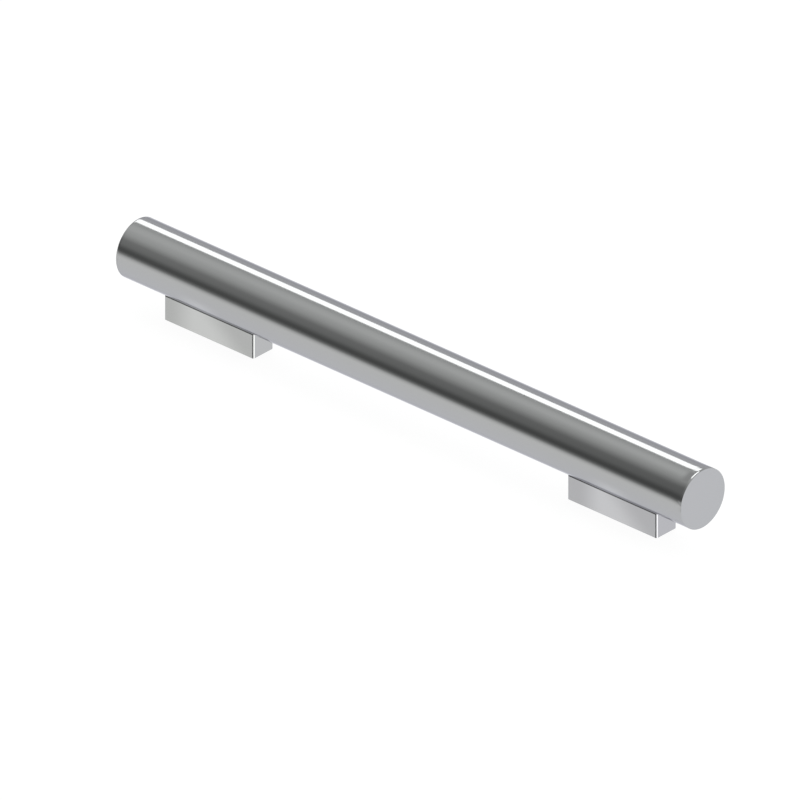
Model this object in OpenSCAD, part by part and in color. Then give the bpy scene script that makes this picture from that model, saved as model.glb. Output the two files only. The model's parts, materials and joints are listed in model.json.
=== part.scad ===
// Round bar pull carried on two rectangular posts, in millimetres.
// X runs along the bar, Y across it and Z away from the door.
// The origin lies on the mounting plane, midway between the two posts.

/* [Bar] */
// Outside diameter of the bar
bar_d = 38.1; // [34:0.1:50]
// Wall thickness of the tube that the bar is made from
bar_wall = 2; // [1.5:0.25:3]
// Length of the bar over both end caps
bar_l = 445; // [430:1:900]
// Chamfer inside both mouths of the tube
mouth_chamfer = 0.3; // [0.1:0.1:0.8]

/* [End caps] */
// Thickness of the disc that closes each end of the tube
cap_t = 1.5; // [1.2:0.1:4]
// Radius of the rounded rim round the end face
cap_rim_r = 0.5; // [0.3:0.1:1.1]
// Length of the plug that holds the cap in the tube
plug_l = 10; // [8:0.5:20]
// Wall thickness of the cup-shaped plug
plug_wall = 3; // [2:0.25:5]
// Thickness of metal left between the end face and the plug's hollow
plug_floor = 3.5; // [3:0.25:6]
// Chamfer that leads the plug into the tube
plug_lead = 0.8; // [0.4:0.1:1.2]
// Number of adhesive grooves round the plug
groove_count = 2; // [1, 2]
// Width of each adhesive groove round the plug
groove_w = 1.2; // [0.8:0.1:1.4]
// Depth of each adhesive groove
groove_depth = 0.4; // [0.2:0.1:0.8]

/* [Posts] */
// Distance between the centres of the two posts
post_spacing = 317.5; // [256:0.5:330]
// Length of a post along the bar
post_l = 70.25; // [66:0.25:90]
// Width of a post across the bar
post_w = 17.25; // [15:0.25:24]
// Clear height between the mounting plane and the bar
finger_gap = 14.75; // [14:0.25:40]
// Radius of a post's four upright edges
post_edge_r = 1.2; // [0.5:0.1:3]
// Chamfer round the rim of a post's hollow top
saddle_chamfer = 0.6; // [0.4:0.1:2]

/* [Mounting threads] */
// Tapping diameter of the hole for the fixing screw through the door
mount_tap_d = 6.8; // [5:0.1:8.5]
// Depth of the tapped hole
mount_depth = 12; // [8:0.5:13]
// Width of the countersink round the mouth of the tapped hole
mount_sink = 0.7; // [0.3:0.1:1.2]

/* [Joining screws] */
// Nominal diameter of the screws that draw the bar onto its posts
screw_d = 6; // [5:0.5:6]
// Pitch diameter at which the screw's thread is drawn
screw_pitch_d = 5.35; // [4.4:0.05:5.4]
// Diameter of the screw's head
head_d = 10; // [8.5:0.5:11]
// Height of the screw's head
head_h = 6; // [5:0.25:6.5]
// Distance across the flats of the hexagon socket
socket_af = 5; // [4:0.5:6]
// Depth of the hexagon socket
socket_depth = 3; // [2:0.25:3.5]
// Chamfer round the rim of the head and the tip of the screw
screw_chamfer = 0.6; // [0.3:0.1:1]
// Distance between the two screws of one post
screw_spacing = 46; // [36:1:50]
// Depth at which the heads lie below the mounting face
head_recess = 1; // [0.5:0.1:1.5]
// Length of thread held in the saddle nut
thread_grip = 6.2; // [5:0.1:7.5]

/* [Spring washers] */
// Thickness of the split spring washer under each head
washer_t = 1.6; // [1:0.1:2]
// Width of the washer's slit
washer_slit = 0.8; // [0.5:0.1:1.5]
// Slant of the slit against the washer's axis, in degrees
slit_slant = 20; // [0:5:30]

/* [Saddle nuts] */
// Length of the threaded saddle inside the tube
nut_l = 60; // [56:1:80]
// Width of the saddle across the tube
nut_w = 20; // [14:0.5:26]
// Thickness of the saddle at its middle
nut_t = 8; // [7.5:0.25:12]

/* [Fits] */
// Clearance all round each end plug in the tube
plug_fit = 0.05; // [0.03:0.01:0.15]
// Clearance between the bar and the hollow top of each post
saddle_fit = 0.05; // [0.03:0.01:0.15]
// Clearance between a saddle nut and the inside of the tube
nut_fit = 0.05; // [0.03:0.01:0.15]
// Radial clearance between a screw's thread and the nut's thread
thread_fit = 0.05; // [0.03:0.01:0.1]
// Radial clearance of the screw holes through the post and the tube
hole_fit = 0.3; // [0.1:0.05:0.5]
// Radial clearance round a screw head in its counterbore
head_fit = 0.5; // [0.2:0.05:0.7]
// Radial clearance between a washer and its screw
washer_fit = 0.1; // [0.05:0.01:0.2]

/* [Hidden] */
$fn = 96;

// Side of the handle on which a piece lies
left = -1;
right = 1;
// Place of a screw on its post, outward from or in towards the middle of the bar
outer = 1;
inner = -1;

// Extra length by which a cutting tool overshoots its face
cut = 1;

bar_r = bar_d / 2;
bore_r = bar_r - bar_wall;
axis_z = finger_gap + bar_r;
saddle_r = bar_r + saddle_fit;
tube_l = bar_l - 2 * cap_t;
plug_r = bore_r - plug_fit;
groove_pitch = (plug_l - plug_lead) / (groove_count + 1);

// Heights up the stack that a joining screw draws together
head_top_z = head_recess + head_h;
seat_z = head_top_z + washer_t;
bore_bottom_z = axis_z - bore_r;
screw_tip_z = bore_bottom_z + nut_fit + thread_grip;

satin_steel = [0.72, 0.72, 0.74];
end_steel = [0.76, 0.76, 0.78];
post_steel = [0.66, 0.67, 0.69];
zinc_plate = [0.62, 0.64, 0.66];
dark_steel = [0.32, 0.33, 0.35];
spring_steel = [0.45, 0.45, 0.47];

// X of the middle of a post, and of a screw on it
function post_x(side) = side * post_spacing / 2;
function screw_x(side, place) = post_x(side) + side * place * screw_spacing / 2;
// Height of the hollow top of a post at a distance from its middle line
function saddle_z(y) = axis_z - sqrt(saddle_r * saddle_r - y * y);

// A round solid on the bar's axis, centred at x
module on_axis(x, length, radius)
    translate([x, 0, axis_z])
        rotate([0, 90, 0])
            cylinder(h = length, r = radius, center = true);

// The upright holes for both screws of one post, between two heights
module screw_holes(side, from_z, to_z, radius)
    for (place = [outer, inner])
        translate([screw_x(side, place), 0, from_z])
            cylinder(h = to_z - from_z, r = radius);

// A cone on the bar's axis that widens by its own length towards the side it faces
module widening_cone(x, facing, length, radius)
    translate([x, 0, axis_z])
        rotate([0, facing * 90, 0])
            translate([0, 0, -length])
                cylinder(h = length + cut, r1 = radius, r2 = radius + length + cut);

// A rectangle with round corners, centred on the origin
module round_rectangle(length, width, corner_r) {
    square([length - 2 * corner_r, width], center = true);
    square([length, width - 2 * corner_r], center = true);
    for (x = [-1, 1], y = [-1, 1])
        translate([x * (length / 2 - corner_r), y * (width / 2 - corner_r)])
            circle(r = corner_r);
}

// The drawn tube, drilled from below for the joining screws
module bar_tube()
    color(satin_steel)
        difference() {
            on_axis(0, tube_l, bar_r);
            on_axis(0, tube_l + 2 * cut, bore_r);
            for (side = [left, right]) {
                widening_cone(side * tube_l / 2, side, mouth_chamfer, bore_r);
                screw_holes(side, finger_gap - cut, axis_z, screw_d / 2 + hole_fit);
            }
        }

// Half section of a turned end cap, with its end face at the top
module end_cap_section()
    difference() {
        union() {
            square([bar_r - cap_rim_r, cap_t]);
            square([bar_r, cap_t - cap_rim_r]);
            intersection() {
                square([bar_r, cap_t]);
                translate([bar_r - cap_rim_r, cap_t - cap_rim_r])
                    circle(r = cap_rim_r);
            }
            polygon([
                [0, cap_t / 2],
                [0, -plug_l],
                [plug_r - plug_lead, -plug_l],
                [plug_r, plug_lead - plug_l],
                [plug_r, cap_t / 2]
            ]);
        }
        translate([0, -plug_l - cut])
            square([plug_r - plug_wall, plug_l + cap_t - plug_floor + cut]);
        for (turn = [1:groove_count])
            translate([plug_r - groove_depth, -turn * groove_pitch - groove_w / 2])
                square([groove_depth + cut, groove_w]);
    }

// A turned disc that closes the tube, held by its plug
module end_cap(side)
    color(end_steel)
        translate([side * tube_l / 2, 0, axis_z])
            rotate([0, side * 90, 0])
                rotate_extrude()
                    end_cap_section();

// The tapped hole that takes the fixing screw from behind the door
module mounting_hole(side)
    translate([post_x(side), 0, 0]) {
        translate([0, 0, -cut])
            cylinder(h = mount_depth + cut, d = mount_tap_d);
        translate([0, 0, -cut])
            cylinder(h = mount_sink + cut, r1 = mount_tap_d / 2 + mount_sink + cut, r2 = mount_tap_d / 2);
    }

// Wedges that bevel both long edges of a post's hollow top
module long_edge_bevels(side) {
    edge_y = post_w / 2 - saddle_chamfer;
    edge_z = saddle_z(edge_y);
    reach = saddle_chamfer + cut;
    translate([post_x(side) - post_l / 2 - cut, 0, 0])
        rotate([90, 0, 90])
            linear_extrude(height = post_l + 2 * cut)
                for (y = [-1, 1])
                    polygon([
                        [y * edge_y, edge_z],
                        [y * (edge_y + reach), edge_z - reach],
                        [y * (edge_y + reach), axis_z + cut],
                        [y * edge_y, axis_z + cut]
                    ]);
}

// A block whose top is hollowed to the bar, counterbored from the mounting face
module post(side)
    color(post_steel)
        difference() {
            translate([post_x(side), 0, 0])
                linear_extrude(height = axis_z)
                    round_rectangle(post_l, post_w, post_edge_r);
            on_axis(post_x(side), post_l + 2 * cut, saddle_r);
            for (facing = [left, right])
                widening_cone(post_x(side) + facing * post_l / 2, facing, saddle_chamfer, saddle_r);
            long_edge_bevels(side);
            screw_holes(side, -cut, seat_z, head_d / 2 + head_fit);
            screw_holes(side, -cut, axis_z, screw_d / 2 + hole_fit);
            mounting_hole(side);
        }

// A threaded strip inside the tube, rounded below to its bore
module saddle_nut(side)
    color(zinc_plate)
        difference() {
            translate([post_x(side) - nut_l / 2, 0, axis_z])
                rotate([90, 0, 90])
                    linear_extrude(height = nut_l)
                        intersection() {
                            circle(r = bore_r - nut_fit);
                            translate([-nut_w / 2, -bore_r])
                                square([nut_w, nut_t + nut_fit]);
                        }
            screw_holes(side, bore_bottom_z - cut, axis_z, screw_pitch_d / 2 + thread_fit);
        }

// Half section of a socket head screw, with its head at the bottom
module screw_section()
    polygon([
        [0, head_recess],
        [head_d / 2 - screw_chamfer, head_recess],
        [head_d / 2, head_recess + screw_chamfer],
        [head_d / 2, head_top_z],
        [screw_d / 2, head_top_z],
        [screw_d / 2, bore_bottom_z],
        [screw_pitch_d / 2, bore_bottom_z],
        [screw_pitch_d / 2, screw_tip_z - screw_chamfer],
        [screw_pitch_d / 2 - screw_chamfer, screw_tip_z],
        [0, screw_tip_z]
    ]);

// A socket head screw driven upwards through the post into the saddle nut
module joining_screw(side, place)
    color(dark_steel)
        translate([screw_x(side, place), 0, 0])
            difference() {
                rotate_extrude()
                    screw_section();
                translate([0, 0, head_recess - cut])
                    cylinder(h = socket_depth + cut, d = socket_af / cos(30), $fn = 6);
            }

// A split spring washer, drawn flat as it lies under a tight screw
module spring_washer(side, place)
    color(spring_steel)
        translate([screw_x(side, place), 0, head_top_z])
            difference() {
                cylinder(h = washer_t, d = head_d);
                translate([0, 0, -cut])
                    cylinder(h = washer_t + 2 * cut, r = screw_d / 2 + washer_fit);
                translate([0, head_d / 2, washer_t / 2])
                    rotate([0, slit_slant, 0])
                        cube([washer_slit, head_d, washer_t + 2 * cut], center = true);
            }

bar_tube();
end_cap(left);  // left_end_cap
end_cap(right);  // right_end_cap
post(left);  // left_post
post(right);  // right_post
saddle_nut(left);  // left_saddle_nut
saddle_nut(right);  // right_saddle_nut
joining_screw(left, outer);  // left_outer_screw
joining_screw(left, inner);  // left_inner_screw
joining_screw(right, inner);  // right_inner_screw
joining_screw(right, outer);  // right_outer_screw
spring_washer(left, outer);  // left_outer_washer
spring_washer(left, inner);  // left_inner_washer
spring_washer(right, inner);  // right_inner_washer
spring_washer(right, outer);  // right_outer_washer
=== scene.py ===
import json
import math

import bmesh
import bpy
from mathutils import Matrix, Vector


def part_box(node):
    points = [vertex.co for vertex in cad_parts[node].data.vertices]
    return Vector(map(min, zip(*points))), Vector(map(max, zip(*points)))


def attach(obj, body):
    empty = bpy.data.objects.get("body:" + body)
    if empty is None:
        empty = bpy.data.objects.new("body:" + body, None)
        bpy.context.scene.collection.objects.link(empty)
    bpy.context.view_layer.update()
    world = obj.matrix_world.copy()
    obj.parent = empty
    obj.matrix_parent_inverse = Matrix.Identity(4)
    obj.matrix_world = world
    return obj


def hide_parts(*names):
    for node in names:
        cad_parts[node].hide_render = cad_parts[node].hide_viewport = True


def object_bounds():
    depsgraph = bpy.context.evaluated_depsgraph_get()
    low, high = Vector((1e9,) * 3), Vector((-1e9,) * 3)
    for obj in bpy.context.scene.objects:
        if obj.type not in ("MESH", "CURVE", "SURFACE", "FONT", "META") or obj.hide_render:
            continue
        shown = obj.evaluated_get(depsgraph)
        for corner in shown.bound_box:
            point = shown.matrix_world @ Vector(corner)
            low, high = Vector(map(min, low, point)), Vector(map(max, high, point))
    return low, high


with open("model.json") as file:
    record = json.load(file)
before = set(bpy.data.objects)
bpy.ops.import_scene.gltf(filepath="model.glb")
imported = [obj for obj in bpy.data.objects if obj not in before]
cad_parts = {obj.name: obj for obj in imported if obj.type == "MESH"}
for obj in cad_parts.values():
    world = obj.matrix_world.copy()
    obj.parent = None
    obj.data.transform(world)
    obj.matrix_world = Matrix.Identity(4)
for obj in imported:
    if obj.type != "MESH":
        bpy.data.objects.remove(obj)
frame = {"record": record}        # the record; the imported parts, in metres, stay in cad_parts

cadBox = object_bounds()
mm = 0.001
sides = {"left": -1, "right": 1}
places = ["outer", "inner"]
alongBar = Matrix.Rotation(math.radians(90), 4, "Y")   # turns a piece made round Z onto the bar's axis
overshoot = 1 * mm        # how far a cutting shape reaches past the face that it cuts
roundSteps = 64           # corners round a small bore or a thread


# Sizes that every piece shares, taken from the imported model

barLow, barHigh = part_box("bar_tube")
barRadius = (barHigh.z - barLow.z) / 2
axisHeight = (barHigh.z + barLow.z) / 2
tubeLength = barHigh.x - barLow.x


def middleOf(name):
    low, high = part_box(name)
    return (low + high) / 2


def mountOf(name):
    return next(m for m in frame["record"]["mounts"] if m["name"] == name)


print("frame read: bar of", round(tubeLength / mm, 1), "mm by", round(barRadius * 2 / mm, 2), "mm")


# Mesh helpers

def asObject(name, bm, matrix=None):
    bmesh.ops.recalc_face_normals(bm, faces=bm.faces)
    mesh = bpy.data.meshes.new(name)
    bm.to_mesh(mesh)
    bm.free()
    if matrix:
        mesh.transform(matrix)
    made = bpy.data.objects.new(name, mesh)
    bpy.context.scene.collection.objects.link(made)
    return made


def turned(profile, steps, shape=None, ring=False):
    # profile is (radius, height) from one end to the other, shape bends the radius by angle and height
    bm = bmesh.new()
    rows = []
    for radius, height in profile:
        if radius == 0:
            rows.append([bm.verts.new((0, 0, height))])
            continue
        row = []
        for step in range(steps):
            angle = 2 * math.pi * step / steps
            r = shape(angle, radius, height) if shape else radius
            row.append(bm.verts.new((r * math.cos(angle), r * math.sin(angle), height)))
        rows.append(row)
    pairs = list(zip(rows, rows[1:]))
    if ring:
        pairs.append((rows[-1], rows[0]))
    for below, above in pairs:
        for step in range(steps):
            after = (step + 1) % steps
            if len(below) == 1:
                bm.faces.new((below[0], above[after], above[step]))
            elif len(above) == 1:
                bm.faces.new((below[step], below[after], above[0]))
            else:
                bm.faces.new((below[step], below[after], above[after], above[step]))
    return bm


def stacked(outlines):
    # outlines are closed rows of corners with as many corners each, from one end to the other
    bm = bmesh.new()
    rows = [[bm.verts.new(corner) for corner in outline] for outline in outlines]
    bm.faces.new(reversed(rows[0]))
    bm.faces.new(rows[-1])
    for below, above in zip(rows, rows[1:]):
        for step in range(len(below)):
            after = (step + 1) % len(below)
            bm.faces.new((below[step], below[after], above[after], above[step]))
    return bm


def arc(centre, radius, start, end, steps):
    # points on an arc, angles in degrees
    turns = [math.radians(start + (end - start) * step / steps) for step in range(steps + 1)]
    return [(centre[0] + radius * math.cos(t), centre[1] + radius * math.sin(t)) for t in turns]


def settle(piece):
    # bakes the piece's modifiers into its mesh
    graph = bpy.context.evaluated_depsgraph_get()
    mesh = bpy.data.meshes.new_from_object(piece.evaluated_get(graph))
    old = piece.data
    piece.modifiers.clear()
    piece.data = mesh
    bpy.data.meshes.remove(old)


def combine(piece, tools, operation="DIFFERENCE"):
    for tool in tools:
        step = piece.modifiers.new("cut", "BOOLEAN")
        step.operation = operation
        step.solver = "EXACT"
        step.object = tool
    settle(piece)
    for tool in tools:
        bpy.data.objects.remove(tool)


shading = {
    "sharpFrom": 32,         # corners sharper than this many degrees stay crisp
    "flatFirst": 100,        # how strongly flat faces rule the shading next to small radii
}


def smooth(piece):
    piece.data.shade_smooth()
    piece.data.set_sharp_from_angle(angle=math.radians(shading["sharpFrom"]))
    weight = piece.modifiers.new("flat faces first", "WEIGHTED_NORMAL")
    weight.keep_sharp = True
    weight.weight = shading["flatFirst"]
    settle(piece)


def finishPiece(piece, cadNode, material):
    smooth(piece)
    piece.data.materials.clear()
    piece.data.materials.append(material)
    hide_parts(cadNode)
    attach(piece, "root")


def upright(x, profile, steps=roundSteps, shape=None):
    # a round cutting shape that stands at x on the bar's middle line
    return asObject("tool", turned(profile, steps, shape), Matrix.Translation((x, 0, 0)))


# Threads, all cut from one rule so that a screw and its nut mesh

threads = {
    "m6": {"radius": 3 * mm, "pitch": 1 * mm},
    "m8": {"radius": 4 * mm, "pitch": 1.25 * mm},
    "rowsPerPitch": 16,
    "depthShare": 0.58,      # depth of the thread as a share of its pitch
    "crestShare": 0.125,     # its flat crest and its flank, as shares of half the pitch
    "flankShare": 0.625,
    "play": 0.04 * mm,       # half the clearance between screw and nut
}


def threadShape(kind, change):
    # the radius of a right-handed thread at an angle and a height, with change added all round
    size = threads[kind]
    depth = size["pitch"] * threads["depthShare"]

    def shape(angle, radius, height):
        phase = (height / size["pitch"] - angle / (2 * math.pi)) % 1
        fromCrest = abs(phase - 0.5) * 2
        fall = min(1, max(0, (fromCrest - threads["crestShare"]) / threads["flankShare"]))
        return min(radius, size["radius"] + change - depth * fall)

    return shape


def threadRows(kind, low, high):
    count = math.ceil((high - low) / threads[kind]["pitch"] * threads["rowsPerPitch"])
    return [low + (high - low) * row / count for row in range(count + 1)]


def threadCutter(x, kind, low, high):
    wide = threads[kind]["radius"] + overshoot
    rows = [(0, low)] + [(wide, height) for height in threadRows(kind, low, high)] + [(0, high)]
    return upright(x, rows, shape=threadShape(kind, threads["play"]))


# Materials

def nodeTree(owner):
    owner.use_nodes = True
    owner.node_tree.nodes.clear()
    return owner.node_tree


def node(tree, kind, inputs=None, **settings):
    made = tree.nodes.new(kind)
    for name, value in settings.items():
        setattr(made, name, value)
    for name, value in (inputs or {}).items():
        if isinstance(value, bpy.types.NodeSocket):
            tree.links.new(value, made.inputs[name])
        else:
            made.inputs[name].default_value = value
    return made


def maths(tree, operation, a, b=0.0):
    return node(tree, "ShaderNodeMath", {0: a, 1: b}, operation=operation).outputs[0]


def split(tree, vector):
    return node(tree, "ShaderNodeSeparateXYZ", {0: vector}).outputs


def facing(tree):
    # the parts of the surface's own direction
    return split(tree, node(tree, "ShaderNodeNewGeometry").outputs["Normal"])


def ramped(tree, value, start, end, low=0.0, high=1.0):
    # a soft step from low at start to high at end
    inputs = {"Value": value, "From Min": start, "From Max": end, "To Min": low, "To Max": high}
    return node(tree, "ShaderNodeMapRange", inputs, interpolation_type="SMOOTHSTEP").outputs[0]


def between(tree, value, low, high, edge):
    # 1 between low and high, with soft edges
    rise = ramped(tree, value, low - edge, low + edge)
    fall = ramped(tree, value, high + edge, high - edge)
    return maths(tree, "MULTIPLY", rise, fall)


def brightened(tree, base, factor):
    return node(tree, "ShaderNodeVectorMath", {0: base, "Scale": factor}, operation="SCALE").outputs[0]


# what every piece of steel has unless its own look says otherwise
satin = {
    "colour": (0.44, 0.447, 0.447),
    "roughness": 0.13,
    "edgeTint": (0.72, 0.72, 0.75),   # keeps the rims of round pieces from going white
    "grain": (60, 9000, 9000),        # how fine the drawn lines are along, across and up
    "grainDetail": 3.0,
    "grainBlend": 0.55,
    "grainTone": 0.05,
    "grainRough": 0.06,
    "cloud": 30,
    "cloudTone": 0.02,
    "bump": 0.12,
    "bumpDepth": 0.02 * mm,
}


def metal(name, changes=None, paintedLight=None, rounding=None):
    # the colour may take a factor from the place on the piece, which paints light and shade into the steel,
    # and rounding gives a direction
    look = {**satin, **(changes or {})}
    material = bpy.data.materials.new(name)
    tree = nodeTree(material)
    place = node(tree, "ShaderNodeTexCoord").outputs["Object"]
    lines = node(tree, "ShaderNodeMapping", {"Vector": place, "Scale": look["grain"]}).outputs[0]
    detail = {"Vector": lines, "Scale": 1.0, "Detail": look["grainDetail"], "Roughness": look["grainBlend"]}
    grain = node(tree, "ShaderNodeTexNoise", detail).outputs["Fac"]
    cloud = node(tree, "ShaderNodeTexNoise", {"Vector": place, "Scale": look["cloud"]}).outputs["Fac"]
    grainTone = ramped(tree, grain, 0, 1, 1 - look["grainTone"] / 2, 1 + look["grainTone"] / 2)
    cloudTone = ramped(tree, cloud, 0, 1, 1 - look["cloudTone"] / 2, 1 + look["cloudTone"] / 2)
    tone = brightened(tree, look["colour"], maths(tree, "MULTIPLY", grainTone, cloudTone))
    # painted light and shade, as a factor for the colour by place
    if paintedLight:
        tone = brightened(tree, tone, paintedLight(tree, place))
    spread = look["grainRough"] / 2
    rough = ramped(tree, grain, 0, 1, look["roughness"] - spread, look["roughness"] + spread)
    relief = {"Strength": look["bump"], "Distance": look["bumpDepth"], "Height": grain}
    if rounding:
        relief["Normal"] = rounding(tree, place)
    bump = node(tree, "ShaderNodeBump", relief).outputs[0]
    surface = {"Base Color": tone, "Roughness": rough, "Metallic": 1.0, "Normal": bump}
    surface["Specular Tint"] = (*look["edgeTint"], 1)
    shader = node(tree, "ShaderNodeBsdfPrincipled", surface)
    node(tree, "ShaderNodeOutputMaterial", {"Surface": shader.outputs[0]})
    return material


# The ends of the bar, where the photo's reflections bend as if it fell away there. The bump bends them
# likewise on the upper half, and the bar's own shape stays straight.

barEnd = {
    "reach": 9 * mm,         # how far from the end the bend starts
    "slope": {"left": 0.0, "right": 0.1},        # how steep it gets by the end, evenly
    "lastSlope": {"left": 0.6, "right": 0.6},    # and what the last stretch adds to that
    "lastPower": {"left": 18, "right": 6},       # which is the shorter, the higher this is
    "upward": (0.05, 0.35),  # it comes in between these heights of the surface's own direction
}


def endRounding(tree, place):
    # the direction that the surface would have if it fell away there
    along = split(tree, place)[0]
    start = (cadBox[1].x - cadBox[0].x) / 2 - barEnd["reach"]
    fall = 0.0
    for side, way in sides.items():
        past = maths(tree, "SUBTRACT", maths(tree, "MULTIPLY", along, way), start)
        share = maths(tree, "DIVIDE", maths(tree, "MAXIMUM", past, 0.0), barEnd["reach"])
        even = maths(tree, "MULTIPLY", maths(tree, "POWER", share, 2.0), barEnd["slope"][side] / 2)
        power = barEnd["lastPower"][side] + 1
        steepness = barEnd["lastSlope"][side] / power
        last = maths(tree, "MULTIPLY", maths(tree, "POWER", share, power), steepness)
        fall = maths(tree, "ADD", fall, maths(tree, "ADD", even, last))
    height = maths(tree, "MULTIPLY", fall, -barEnd["reach"])
    strength = ramped(tree, facing(tree)[2], *barEnd["upward"])
    return node(tree, "ShaderNodeBump", {"Strength": strength, "Distance": 1.0, "Height": height}).outputs[0]


# The drawn tube

tube = {
    "wall": 2 * mm,
    "mouthChamfer": 0.3 * mm,
    "edgeBreak": 0.04 * mm,      # the outer corner at each end, broken just enough to show the joint
    "screwHole": 3.3 * mm,       # its radius
    "steps": 256,
    "lengthSteps": 16,
    "fade": 0.18,                # painted reflection: how much brighter the front is coloured at the left end, and darker at the right
    "fadeTurn": 38,              # where round the bar that is strongest, in degrees up from the front
    "fadeReach": 0.5,            # and the sine of the turn at which it is gone
    # painted reflection of each post's sheen in the bar: where it lies, from the post's middle, how far
    # either way it reaches and how much brighter it is coloured
    "mirrored": {"left": -1 * mm, "right": 6 * mm},
    "mirroredReach": 20 * mm,
    "paintedReflectionStrength": 0.19,
    "mirroredFrom": (-0.12, -0.5),   # it comes in between these heights of the surface's own direction
    "paintedJointLight": 0.36,           # painted light: how much brighter the bar is coloured towards the line where a post meets it, where shade falls
    "jointFrom": (-0.54, -0.75),
    "jointEdge": 1 * mm,
}
boreRadius = barRadius - tube["wall"]
screwXs = {
    (side, place): middleOf(f"{side}_{place}_screw").x for side in sides for place in places
}


def paintedReflectionFade(tree, place):
    # painted reflection: the colour brighter towards the left end and darker towards the right, on a strip of
    # the front
    _, y, z = facing(tree)
    turn = math.radians(tube["fadeTurn"])
    rise = maths(tree, "MULTIPLY", z, math.cos(turn))
    away = maths(tree, "ABSOLUTE", maths(tree, "ADD", rise, maths(tree, "MULTIPLY", y, math.sin(turn))))
    front = maths(tree, "LESS_THAN", y, 0.0)
    share = maths(tree, "MULTIPLY", front, ramped(tree, away, tube["fadeReach"], 0))
    leftward = maths(tree, "DIVIDE", split(tree, place)[0], -tubeLength / 2)
    change = maths(tree, "MULTIPLY", share, tube["fade"])
    return maths(tree, "ADD", 1.0, maths(tree, "MULTIPLY", leftward, change))


def paintedPostReflections(tree, place):
    # painted reflection of the posts' sheen in the bar's underside, and painted light that lightens the shade
    # close to each joint, as tones of its colour
    along = split(tree, place)[0]
    upward = facing(tree)[2]
    glow = maths(tree, "MULTIPLY", ramped(tree, upward, *tube["mirroredFrom"]), tube["paintedReflectionStrength"])
    paintedJointLight = maths(tree, "MULTIPLY", ramped(tree, upward, *tube["jointFrom"]), tube["paintedJointLight"])
    reach = tube["mirroredReach"] / 2
    factor = 1.0
    for side in sides:
        low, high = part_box(f"{side}_post")
        x = middleOf(f"{side}_post").x + tube["mirrored"][side]
        paintedSheen = maths(tree, "MULTIPLY", between(tree, along, x - reach, x + reach, reach), glow)
        joint = maths(tree, "MULTIPLY", between(tree, along, low.x, high.x, tube["jointEdge"]), paintedJointLight)
        factor = maths(tree, "ADD", factor, maths(tree, "ADD", paintedSheen, joint))
    return factor


def paintedBarLight(tree, place):
    # painted reflections and painted light on the bar, as one factor for the colour
    return maths(tree, "MULTIPLY", paintedReflectionFade(tree, place), paintedPostReflections(tree, place))


def makeTube():
    half = tubeLength / 2
    breakEdge, chamfer = tube["edgeBreak"], tube["mouthChamfer"]
    outside = [
        (barRadius, -half + breakEdge + (tubeLength - 2 * breakEdge) * row / tube["lengthSteps"])
        for row in range(tube["lengthSteps"] + 1)
    ]
    profile = [(barRadius - breakEdge, -half), *outside, (barRadius - breakEdge, half)]
    profile += [(boreRadius + chamfer, half), (boreRadius, half - chamfer)]
    profile += [(boreRadius, -half + chamfer), (boreRadius + chamfer, -half)]
    matrix = Matrix.Translation((0, 0, axisHeight)) @ alongBar
    piece = asObject("barTube", turned(profile, tube["steps"], ring=True), matrix)
    bottom = axisHeight - barRadius - overshoot
    hole = [(0, bottom), (tube["screwHole"], bottom), (tube["screwHole"], axisHeight), (0, axisHeight)]
    combine(piece, [upright(x, hole) for x in screwXs.values()])
    steel = metal("barSteel", paintedLight=paintedBarLight, rounding=endRounding)
    finishPiece(piece, "bar_tube", steel)


makeTube()
print("tube made")


# The turned end caps

cap = {
    "rim": 0.2 * mm,
    "rimSteps": 12,
    "plugWall": 3 * mm,
    "plugFloor": 3.5 * mm,
    "plugLead": 0.8 * mm,
    "plugFit": 0.05 * mm,
    "grooves": 2,
    "grooveWidth": 1.2 * mm,
    "grooveDepth": 0.4 * mm,
    "edgeBreak": 0.04 * mm,
    "steps": 256,
    "look": {"grain": (9000, 900, 900), "grainTone": 0.03},
}


def makeCap(side):
    name = f"{side}_end_cap"
    low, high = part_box(name)
    thick = (cadBox[1].x - cadBox[0].x - tubeLength) / 2
    plugLength = high.x - low.x - thick
    plugRadius = boreRadius - cap["plugFit"]
    inside = plugRadius - cap["plugWall"]
    pitch = (plugLength - cap["plugLead"]) / (cap["grooves"] + 1)
    profile = [(0, thick - cap["plugFloor"]), (inside, thick - cap["plugFloor"]), (inside, -plugLength)]
    profile += [(plugRadius - cap["plugLead"], -plugLength), (plugRadius, cap["plugLead"] - plugLength)]
    for groove in reversed(range(1, cap["grooves"] + 1)):
        middle = -groove * pitch
        start, end = middle - cap["grooveWidth"] / 2, middle + cap["grooveWidth"] / 2
        floor = plugRadius - cap["grooveDepth"]
        profile += [(plugRadius, start), (floor, start), (floor, end), (plugRadius, end)]
    profile += [(plugRadius, 0), (barRadius - cap["edgeBreak"], 0), (barRadius, cap["edgeBreak"])]
    profile += arc((barRadius - cap["rim"], thick - cap["rim"]), cap["rim"], 0, 90, cap["rimSteps"])
    profile += [(0, thick)]
    turn = Matrix.Rotation(math.radians(90 * sides[side]), 4, "Y")
    matrix = Matrix.Translation((sides[side] * tubeLength / 2, 0, axisHeight)) @ turn
    piece = asObject(f"{side}EndCap", turned(profile, cap["steps"]), matrix)
    finishPiece(piece, name, capSteel)


capSteel = metal("capSteel", cap["look"], rounding=endRounding)
for side in sides:
    makeCap(side)
print("end caps made")


# The posts, hollowed to the bar above and bored from the foot

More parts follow.
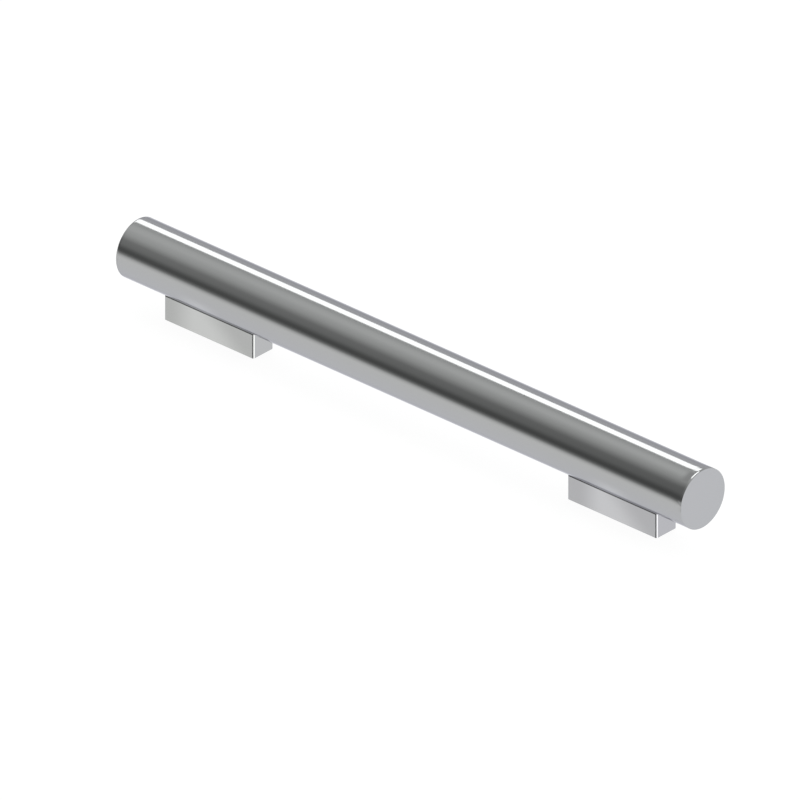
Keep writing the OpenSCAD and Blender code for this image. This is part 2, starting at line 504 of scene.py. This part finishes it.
post = {
    "edgeRadius": 1.2 * mm,
    "edgeSteps": 12,
    "footBreak": 0.15 * mm,
    "saddleFit": 0.05 * mm,
    "saddleChamfer": 0.75 * mm,
    "counterbore": 5.5 * mm,     # its radius
    "counterboreSink": 0.3 * mm,
    "boreSteps": 96,
    "seatHeight": 8.6 * mm,
    "mountSink": 0.7 * mm,
    "threadRunOut": 1 * mm,      # how far the tapped thread stops short of its hole's end
    "colour": {"left": (0.446, 0.452, 0.443), "right": (0.443, 0.445, 0.453)},
    "paintedSheen": 0.29,               # painted sheen: the soft band across each long face, how much brighter than the plain steel it is coloured
    "sheenRise": {"left": (3 * mm, 26 * mm), "right": (8 * mm, 28 * mm)},   # from the post's left end
    "sheenFall": (40 * mm, 72 * mm),
    "sheenLean": 1.12,           # how far its fall leans for each length up
    "paintedCornerHighlight": 1.05,              # painted highlight: how much brighter the front right and back left upright corners are coloured
    "paintedCornerFrom": (-0.02, -0.12),
    "paintedBevelLight": 0.7,          # painted light: and how much brighter the bevels beside the bar are coloured, which lightens the groove's shade
    "bevelFrom": (0.3, 0.6),
}


def paintedPostLight(side, leftEnd):
    # painted sheen, painted highlights on two upright corners and painted light on the bevels, as one factor
    # for the colour
    def factor(tree, place):
        x, _, z = split(tree, place)
        along = maths(tree, "SUBTRACT", x, leftEnd)
        leaning = maths(tree, "ADD", along, maths(tree, "MULTIPLY", z, post["sheenLean"]))
        rise = ramped(tree, along, *post["sheenRise"][side])
        fall = ramped(tree, leaning, *reversed(post["sheenFall"]))
        share = maths(tree, "MULTIPLY", rise, maths(tree, "MULTIPLY", fall, post["paintedSheen"]))
        paintedSheen = maths(tree, "ADD", 1.0, share)
        x, y, z = facing(tree)
        # painted highlight on the front right and back left upright corners
        corner = ramped(tree, maths(tree, "MULTIPLY", x, y), *post["paintedCornerFrom"], 1, 1 + post["paintedCornerHighlight"])
        # painted light on the bevels beside the bar, lightening the dark groove under it
        bevel = ramped(tree, z, *post["bevelFrom"], 1, 1 + post["paintedBevelLight"])
        return maths(tree, "MULTIPLY", maths(tree, "MULTIPLY", paintedSheen, corner), bevel)

    return factor


def roundedOutline(length, width, radius, height):
    corners = [(1, 1, 0), (-1, 1, 90), (-1, -1, 180), (1, -1, 270)]
    points = []
    for x, y, start in corners:
        centre = (x * (length / 2 - radius), y * (width / 2 - radius))
        points += arc(centre, radius, start, start + 90, post["edgeSteps"])
    return [(x, y, height) for x, y in points]


def bevelTool(x, length, halfWidth, saddle):
    # a wedge that bevels one long edge of the hollow top, on the side that halfWidth's sign gives
    edgeY = abs(halfWidth) - post["saddleChamfer"]
    edgeZ = axisHeight - math.sqrt(saddle ** 2 - edgeY ** 2)
    reach = post["saddleChamfer"] + overshoot
    section = [
        (edgeY, edgeZ),
        (edgeY + reach, edgeZ - reach),
        (edgeY + reach, axisHeight + overshoot),
        (edgeY, axisHeight + overshoot),
    ]
    outward = math.copysign(1, halfWidth)
    ends = (x - length / 2 - overshoot, x + length / 2 + overshoot)
    return asObject("tool", stacked([[(end, outward * y, z) for y, z in section] for end in ends]))


def makePost(side):
    name = f"{side}_post"
    low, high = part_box(name)
    x, length, width = (low.x + high.x) / 2, high.x - low.x, high.y - low.y
    radius, nick = post["edgeRadius"], post["footBreak"]
    outlines = [
        roundedOutline(length - 2 * nick, width - 2 * nick, radius - nick, 0),
        roundedOutline(length, width, radius, nick),
        roundedOutline(length, width, radius, axisHeight),
    ]
    piece = asObject(f"{side}Post", stacked(outlines), Matrix.Translation((x, 0, 0)))
    saddle = barRadius + post["saddleFit"]
    half, chamfer = length / 2, post["saddleChamfer"]
    wide = saddle + chamfer + overshoot
    profile = [(0, -half - overshoot), (wide, -half - overshoot), (saddle, -half + chamfer)]
    profile += [(saddle, half - chamfer), (wide, half + overshoot), (0, half + overshoot)]
    matrix = Matrix.Translation((x, 0, axisHeight)) @ alongBar
    tools = [asObject("tool", turned(profile, tube["steps"]), matrix)]
    tools += [bevelTool(x, length, way * width / 2, saddle) for way in (-1, 1)]
    bore, sink = post["counterbore"], post["counterboreSink"]
    for place in places:
        stack = [(0, -overshoot), (bore + sink + overshoot, -overshoot), (bore, sink)]
        stack += [(bore, post["seatHeight"]), (tube["screwHole"], post["seatHeight"])]
        stack += [(tube["screwHole"], axisHeight), (0, axisHeight)]
        tools.append(upright(screwXs[side, place], stack, post["boreSteps"]))
    combine(piece, tools)
    mount = mountOf(f"{side}_fixing_hole")
    tap = mount["dims"]["r_mm"] * mm
    mouth = post["mountSink"]
    depth = mouth + mount["dims"]["length_mm"] * mm
    plain = [(0, -overshoot), (tap + mouth + overshoot, -overshoot), (tap, mouth)]
    plain += [(tap, depth), (0, depth)]
    thread = threadCutter(x, "m8", -overshoot, depth - post["threadRunOut"])
    combine(piece, [upright(x, plain), thread])
    steel = metal(f"{side}PostSteel", {"colour": post["colour"][side]}, paintedPostLight(side, low.x))
    finishPiece(piece, name, steel)


for side in sides:
    makePost(side)
print("posts made")


# The threaded saddles inside the tube

nut = {
    "fit": 0.05 * mm,
    "edgeBreak": 0.4 * mm,
    "arcSteps": 48,
    "look": {"colour": (0.56, 0.59, 0.62), "roughness": 0.32, "grain": (900, 900, 900), "cloudTone": 0.12},
}


def makeNut(side):
    name = f"{side}_saddle_nut"
    low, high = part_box(name)
    radius = boreRadius - nut["fit"]

    def section(x, shrink):
        halfWidth, r = (high.y - low.y) / 2 - shrink, radius - shrink
        spread = math.degrees(math.asin(halfWidth / r))
        curve = arc((0, axisHeight), r, 270 - spread, 270 + spread, nut["arcSteps"])
        top = high.z - shrink
        return [(x, y, z) for y, z in [*curve, (halfWidth, top), (-halfWidth, top)]]

    nick = nut["edgeBreak"]
    rows = [(low.x, nick), (low.x + nick, 0), (high.x - nick, 0), (high.x, nick)]
    piece = asObject(f"{side}SaddleNut", stacked([section(x, shrink) for x, shrink in rows]))
    cutters = [
        threadCutter(screwXs[side, place], "m6", low.z - overshoot, high.z + overshoot)
        for place in places
    ]
    combine(piece, cutters)
    finishPiece(piece, name, zincPlate)


zincPlate = metal("zincPlate", nut["look"])
for side in sides:
    makeNut(side)
print("saddle nuts made")


# The socket head screws

screw = {
    "headRadius": 5 * mm,
    "headHeight": 6 * mm,
    "chamfer": 0.6 * mm,
    "knurls": 56,
    "stepsPerKnurl": 4,
    "knurlDepth": 0.14 * mm,
    "knurlMargin": 0.9 * mm,
    "headNick": 0.15 * mm,
    "socket": 5 * mm,            # across the flats
    "socketSides": 6,
    "socketDepth": 3 * mm,
    "socketSink": 0.25 * mm,
    "socketLip": 0.3 * mm,       # how far inside the hexagon's corners the mouth's cone ends
    "plainShank": 1 * mm,
    "plainShare": 0.93,          # how thick the plain shank is for the thread
    "tipChamfer": 0.8 * mm,
    "look": {
        "colour": (0.06, 0.06, 0.065),
        "roughness": 0.36,
        "grain": (2500, 2500, 2500),
        "grainTone": 0.25,
    },
}


def knurl(angle, radius, height):
    ridge = abs((angle / (2 * math.pi) * screw["knurls"]) % 1 - 0.5) * 2
    return radius - screw["knurlDepth"] * ridge if radius == screw["headRadius"] else radius


def makeScrew(side, place):
    name = f"{side}_{place}_screw"
    low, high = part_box(name)
    x = (low.x + high.x) / 2
    foot, head = low.z, low.z + screw["headHeight"]
    radius, chamfer, nick = screw["headRadius"], screw["chamfer"], screw["headNick"]
    full = radius - screw["knurlDepth"]
    rim = [(0, foot), (full - chamfer, foot), (full, foot + chamfer), (radius, foot + screw["knurlMargin"])]
    rim += [(radius, head - screw["knurlMargin"] / 2), (full, head - nick), (full - nick, head), (0, head)]
    steps = screw["knurls"] * screw["stepsPerKnurl"]
    piece = asObject(f"{side}{place.capitalize()}Screw", turned(rim, steps, knurl))
    piece.data.transform(Matrix.Translation((x, 0, 0)))
    start = head - overshoot
    thread = threads["m6"]["radius"] - threads["play"]
    rows = [(0, start)]
    for height in threadRows("m6", start, high.z):
        rows.append((min(thread, thread - screw["tipChamfer"] + (high.z - height)), height))
    rows.append((0, high.z))
    plainUpTo = head + screw["plainShank"]
    cut = threadShape("m6", -threads["play"])

    def shank(angle, radius, height):
        return min(radius, thread * screw["plainShare"]) if height < plainUpTo else cut(angle, radius, height)

    combine(piece, [upright(x, rows, shape=shank)], "UNION")
    corner = screw["socket"] / 2 / math.cos(math.pi / screw["socketSides"])
    top = foot + screw["socketDepth"]
    hexagon = [(0, foot - overshoot), (corner, foot - overshoot), (corner, top), (0, top + corner / 2)]
    inner, sink = corner - screw["socketLip"], screw["socketSink"]
    mouth = [(0, foot - overshoot), (inner + sink + overshoot, foot - overshoot)]
    mouth += [(inner, foot + sink), (0, foot + sink)]
    combine(piece, [upright(x, hexagon, screw["socketSides"]), upright(x, mouth)])
    finishPiece(piece, name, screwSteel)


# The split spring washers

washer = {
    "bore": 3.1 * mm,            # its radius
    "radius": 5 * mm,
    "edgeBreak": 0.15 * mm,
    "slit": 0.8 * mm,
    "slant": 20,                 # of the slit, in degrees
    "steps": 128,
    "look": {
        "colour": (0.16, 0.16, 0.17),
        "roughness": 0.3,
        "grain": (2500, 2500, 900),
        "grainTone": 0.2,
    },
}


def makeWasher(side, place):
    name = f"{side}_{place}_washer"
    low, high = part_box(name)
    x = (low.x + high.x) / 2
    nick, bore, radius = washer["edgeBreak"], washer["bore"], washer["radius"]
    profile = [(bore, low.z + nick), (bore + nick, low.z), (radius - nick, low.z), (radius, low.z + nick)]
    profile += [(radius, high.z - nick), (radius - nick, high.z)]
    profile += [(bore + nick, high.z), (bore, high.z - nick)]
    made = turned(profile, washer["steps"], ring=True)
    piece = asObject(f"{side}{place.capitalize()}Washer", made)
    piece.data.transform(Matrix.Translation((x, 0, 0)))
    halfSlit = washer["slit"] / 2
    reach = (high.z - low.z) / 2 + overshoot
    corners = [(-halfSlit, 0), (halfSlit, 0), (halfSlit, 2 * radius), (-halfSlit, 2 * radius)]
    slit = asObject("tool", stacked([[(a, b, z) for a, b in corners] for z in (-reach, reach)]))
    slit.data.transform(Matrix.Rotation(math.radians(washer["slant"]), 4, "Y"))
    slit.data.transform(Matrix.Translation((x, 0, (low.z + high.z) / 2)))
    combine(piece, [slit])
    finishPiece(piece, name, washerSteel)


screwSteel = metal("oiledScrewSteel", screw["look"])
washerSteel = metal("springSteel", washer["look"])
for side in sides:
    for place in places:
        makeScrew(side, place)
        makeWasher(side, place)
print("screws and washers made")


# The floor

floorLook = {
    "size": 8,           # metres
    "drop": 0.05 * mm,   # keeps it clear of the posts' feet
    "glow": 0.93,        # the floor's own white
    "colour": 0.16,      # what it takes from the light, and so how dark its shadow gets
}


def makeFloor():
    mesh = bmesh.new()
    bmesh.ops.create_grid(mesh, x_segments=1, y_segments=1, size=floorLook["size"] / 2)
    floor = asObject("floor", mesh, Matrix.Translation((0, 0, -floorLook["drop"])))
    paint = bpy.data.materials.new("pale floor")
    tree = nodeTree(paint)
    matte = node(tree, "ShaderNodeBsdfDiffuse", {"Color": (*[floorLook["colour"]] * 3, 1)}).outputs[0]
    glow = node(tree, "ShaderNodeEmission", {"Strength": floorLook["glow"]}).outputs[0]
    both = node(tree, "ShaderNodeAddShader", {0: matte, 1: glow}).outputs[0]
    node(tree, "ShaderNodeOutputMaterial", {"Surface": both})
    floor.data.materials.append(paint)
    floor.visible_glossy = False    # the steel sees the studio's white ground in its place


makeFloor()


# The studio, which is light by direction

studio = {
    # light by the angle round the bar: -90 is below, 0 in front, 90 above and 180 behind
    "bands": [
        (-180, (0.65, 0.65, 0.68)),
        (-164, (1.07, 1.07, 1.11)),
        (-125, (1.11, 1.11, 1.15)),
        (-108, (1, 1, 1.035)),
        (-92, (1.045, 1.045, 1.07)),
        (-60, (0.995, 0.995, 1.015)),
        (-22, (0.99, 0.99, 0.985)),
        (-14, (0.78, 0.78, 0.775)),
        (-5, (0.25, 0.252, 0.25)),
        (3, (0.12, 0.121, 0.12)),
        (11, (0.123, 0.124, 0.123)),
        (26, (0.24, 0.242, 0.24)),
        (43, (0.27, 0.272, 0.27)),
        (64, (0.545, 0.549, 0.545)),
        (90, (0.76, 0.766, 0.76)),
        (102, (0.74, 0.746, 0.74)),
        (120, (0.54, 0.545, 0.54)),
        (128, (0.54, 0.545, 0.54)),
        (154, (0.7, 0.7, 0.72)),
        (166, (0.76, 0.76, 0.785)),
        (180, (0.65, 0.65, 0.68)),
    ],
    # soft lamps, windows and screens: from and to by the same angle, from and to along the bar
    # (-1 to 1), and their light, which takes the place of the band's
    "lamps": [
        ((124.4, 147.2), (-0.71, -0.52), 2.6),
        ((121, 139), (-0.51, -0.25), 2.6),
        ((68, 110), (-0.535, -0.2), 0.5),
        ((84, 119), (-0.12, 0.1), 3),
        ((-30, -2), (-0.4, 0.7), 0.62),
    ],
    "lampEdge": (1.5, 0.02),     # how soft their edges are, in degrees round and as a share along
    # panels below the horizon that draw the posts' upright corners: turn from the front, light
    "panels": [
        ((-33, 51), 0.09),
        ((53, 124), 1.15),
    ],
    "panelHeights": (-0.57, -0.41),
    "panelEdge": (1, 0.03),      # how soft their edges are, in degrees and in height
}


def lamped(tree, share, around, light):
    # sockets 6 and 7 of the Mix node are its two colours, and output 2 their mixture
    colour = (light, light, light, 1)
    return node(tree, "ShaderNodeMix", {0: share, 6: around, 7: colour}, data_type="RGBA").outputs[2]


def makeStudio():
    world = bpy.data.worlds.new("soft studio")
    bpy.context.scene.world = world
    tree = nodeTree(world)
    direction = node(tree, "ShaderNodeTexCoord").outputs["Generated"]
    along, across, up = split(tree, direction)
    front = maths(tree, "MULTIPLY", across, -1.0)
    around = maths(tree, "ARCTAN2", up, front)
    share = maths(tree, "ADD", maths(tree, "DIVIDE", around, 2 * math.pi), 0.5)
    bands = node(tree, "ShaderNodeValToRGB", {"Fac": share})
    elements = bands.color_ramp.elements
    elements.remove(elements[-1])
    for index, (angle, colour) in enumerate(studio["bands"]):
        position = (angle + 180) / 360
        element = elements[0] if index == 0 else elements.new(position)
        element.position = position
        element.color = (*colour, 1)
    light = bands.outputs[0]
    degrees = maths(tree, "MULTIPLY", around, 180 / math.pi)
    turnEdge, alongEdge = studio["lampEdge"]
    for turns, reach, glow in studio["lamps"]:
        turnShare = between(tree, degrees, *turns, turnEdge)
        inside = maths(tree, "MULTIPLY", turnShare, between(tree, along, *reach, alongEdge))
        light = lamped(tree, inside, light, glow)
    compass = maths(tree, "MULTIPLY", maths(tree, "ARCTAN2", along, front), 180 / math.pi)
    turnEdge, heightEdge = studio["panelEdge"]
    atHeight = between(tree, up, *studio["panelHeights"], heightEdge)
    for turns, glow in studio["panels"]:
        inside = maths(tree, "MULTIPLY", atHeight, between(tree, compass, *turns, turnEdge))
        light = lamped(tree, inside, light, glow)
    seen = node(tree, "ShaderNodeBackground", {"Color": light}).outputs[0]
    white = node(tree, "ShaderNodeBackground", {"Color": (1, 1, 1, 1)}).outputs[0]
    toCamera = node(tree, "ShaderNodeLightPath").outputs["Is Camera Ray"]
    both = node(tree, "ShaderNodeMixShader", {0: toCamera, 1: seen, 2: white}).outputs[0]
    node(tree, "ShaderNodeOutputWorld", {"Surface": both})


makeStudio()
print("floor and studio made")


# The camera, turned and lifted to the photo's parallel view

view = {
    "turn": 42.3,            # degrees round from the front
    "lift": 29.3,            # degrees above the floor
    "width": 0.466,          # metres that the frame spans
    "barRight": 0.01187,     # how far right of the frame's middle the bar's middle lies
    "barUp": 0.01564,        # and how far above it
    "distance": 2,           # metres from the bar
}


def makeCamera():
    turn, lift = math.radians(view["turn"]), math.radians(view["lift"])
    flat = math.cos(lift)
    back = Vector((math.sin(turn) * flat, -math.cos(turn) * flat, math.sin(lift)))
    right = Vector((math.cos(turn), math.sin(turn), 0))
    up = back.cross(right)
    aim = Vector((0, 0, axisHeight)) - right * view["barRight"] - up * view["barUp"]
    lens = bpy.data.cameras.new("camera")
    lens.type = "ORTHO"
    lens.ortho_scale = view["width"]
    camera = bpy.data.objects.new("camera", lens)
    camera.location = aim + back * view["distance"]
    camera.rotation_mode = "QUATERNION"
    camera.rotation_quaternion = (-back).to_track_quat("-Z", "Y")
    bpy.context.scene.collection.objects.link(camera)
    bpy.context.scene.camera = camera
    bpy.context.scene.view_settings.view_transform = "Standard"


makeCamera()
print("camera made")
